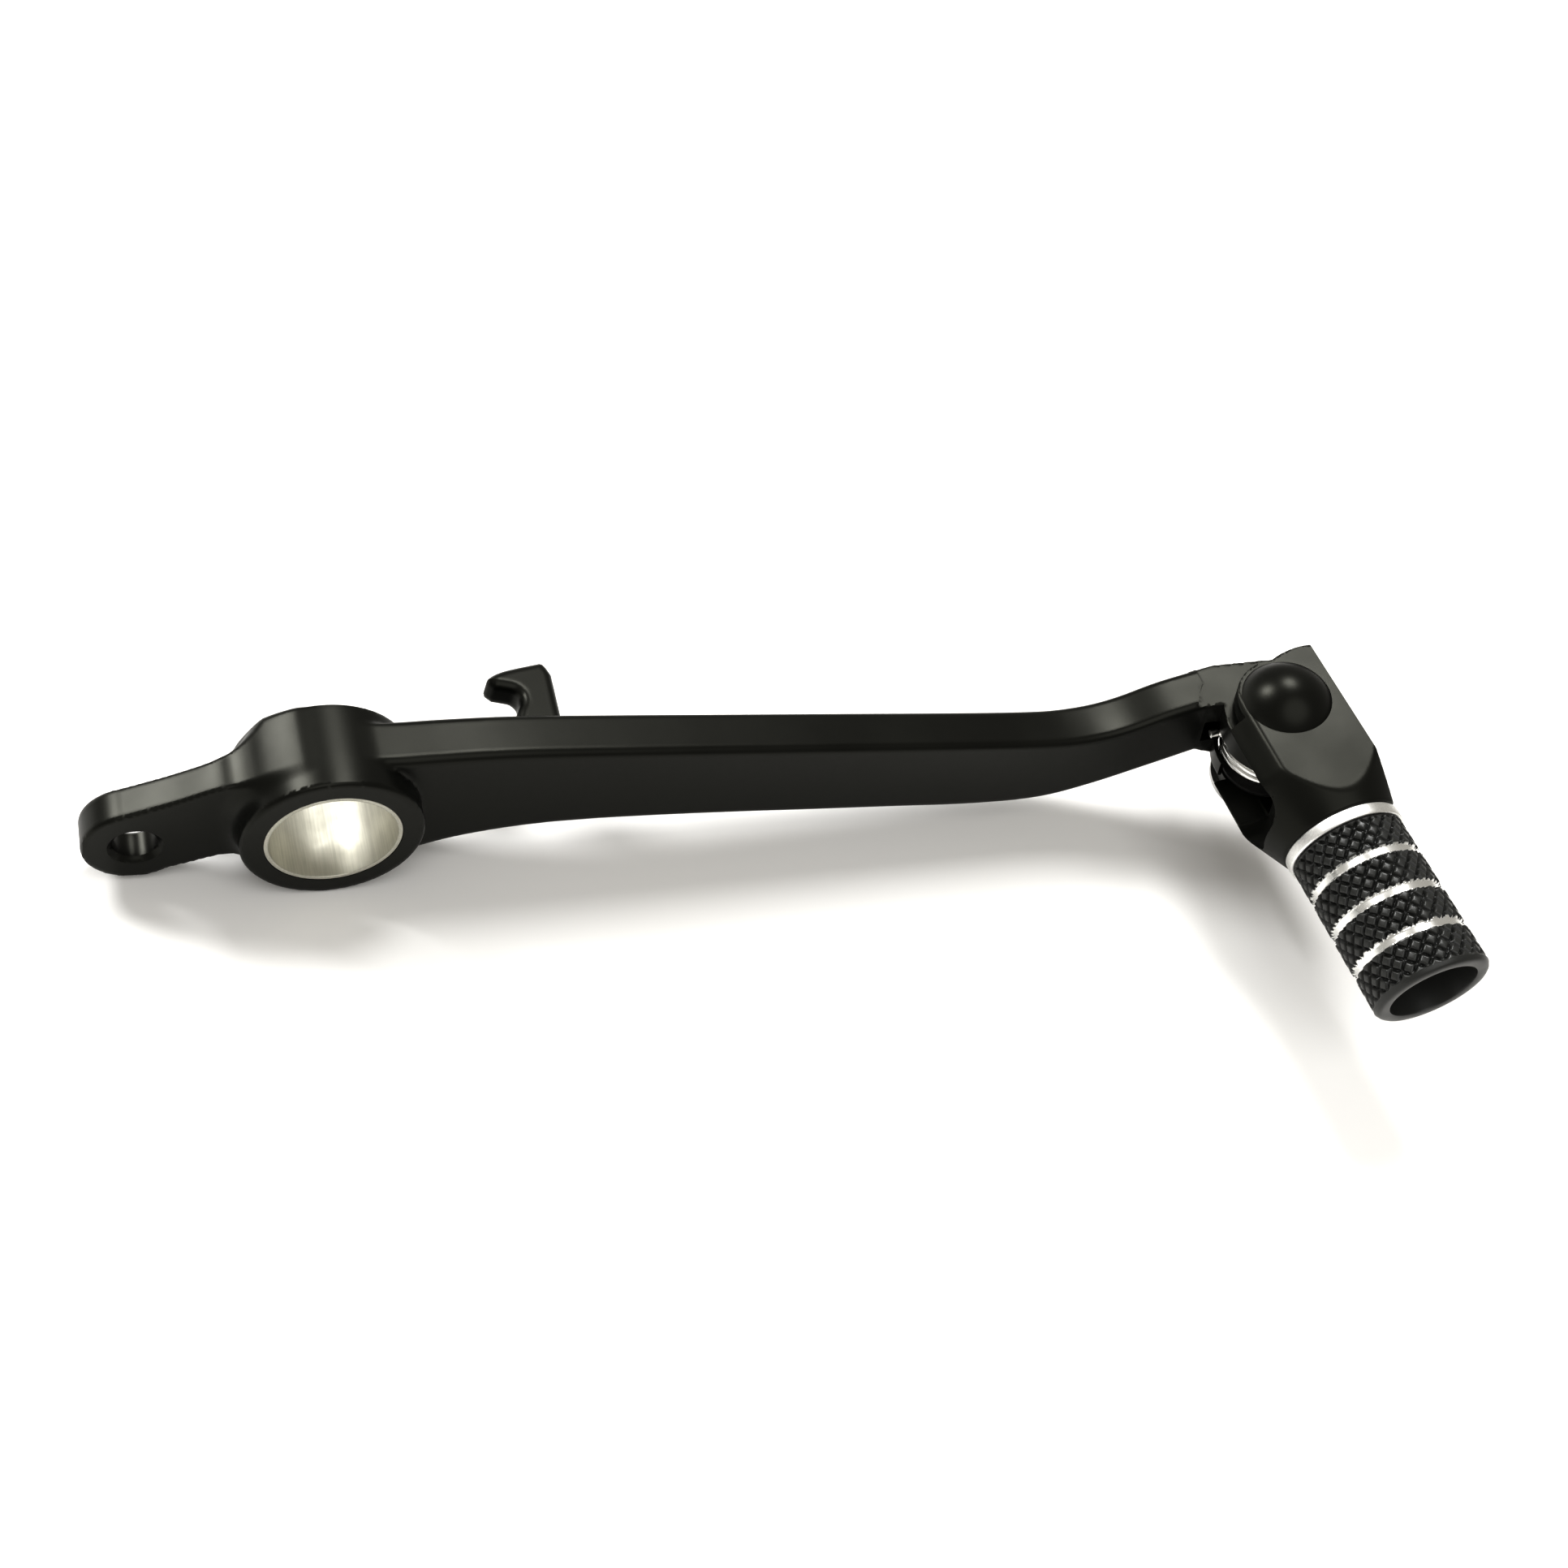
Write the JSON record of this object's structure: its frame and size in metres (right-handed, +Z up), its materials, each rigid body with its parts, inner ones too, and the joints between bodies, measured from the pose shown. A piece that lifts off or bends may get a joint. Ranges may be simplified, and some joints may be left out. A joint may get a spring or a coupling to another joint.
{
  "type": "gear shift lever",
  "caption": "Curved lever with a pivot boss, a drilled lug, a return-spring hook and a knurled toe tip that folds back on a sprung pin.",
  "frame": {"origin": "centre of the pivot bore, halfway along it", "axes": "+X along the arm towards the toe tip, Y along the pivot bore with the toe tip pointing along -Y, +Z up"},
  "size_m": [0.172, 0.0668, 0.0395],
  "materials": {
    "black_alloy": "satin black anodised",
    "knurled_alloy": "knurled, black anodised, with bare machined grooves",
    "bright_alloy": "bare machined",
    "bronze": "machined",
    "nylon": "matte",
    "steel": "zinc plated",
    "spring_steel": "bright drawn",
    "black_steel": "satin black",
    "clip_steel": "dark phosphated"
  },
  "bodies": {
    "lever": {"lever_arm": "black_alloy", "pivot_bush": "bright_alloy", "tongue_bush": "bronze", "torsion_spring": "spring_steel"},
    "tip": {"upper_thrust_washer": "nylon", "lower_thrust_washer": "nylon", "spring_sleeve": "steel", "fold_pin": "black_steel", "pin_washer": "steel", "pin_clip": "clip_steel", "tip_knuckle": "black_alloy", "collar_ring": "bright_alloy", "toe_sleeve": "knurled_alloy", "tip_lock_washer": "steel", "tip_screw": "black_steel"}
  },
  "joints": [
    {"name": "tip_fold", "type": "hinge", "parent": "lever", "child": "tip", "pos_m": [0.13, -0.007, 0.025], "axis": [0.3907, 0, -0.9205], "range_deg": [0, 70], "stiffness_Nm_per_rad": 0.25, "springref_deg": -28.65, "deforming": ["torsion_spring"]}
  ]
}
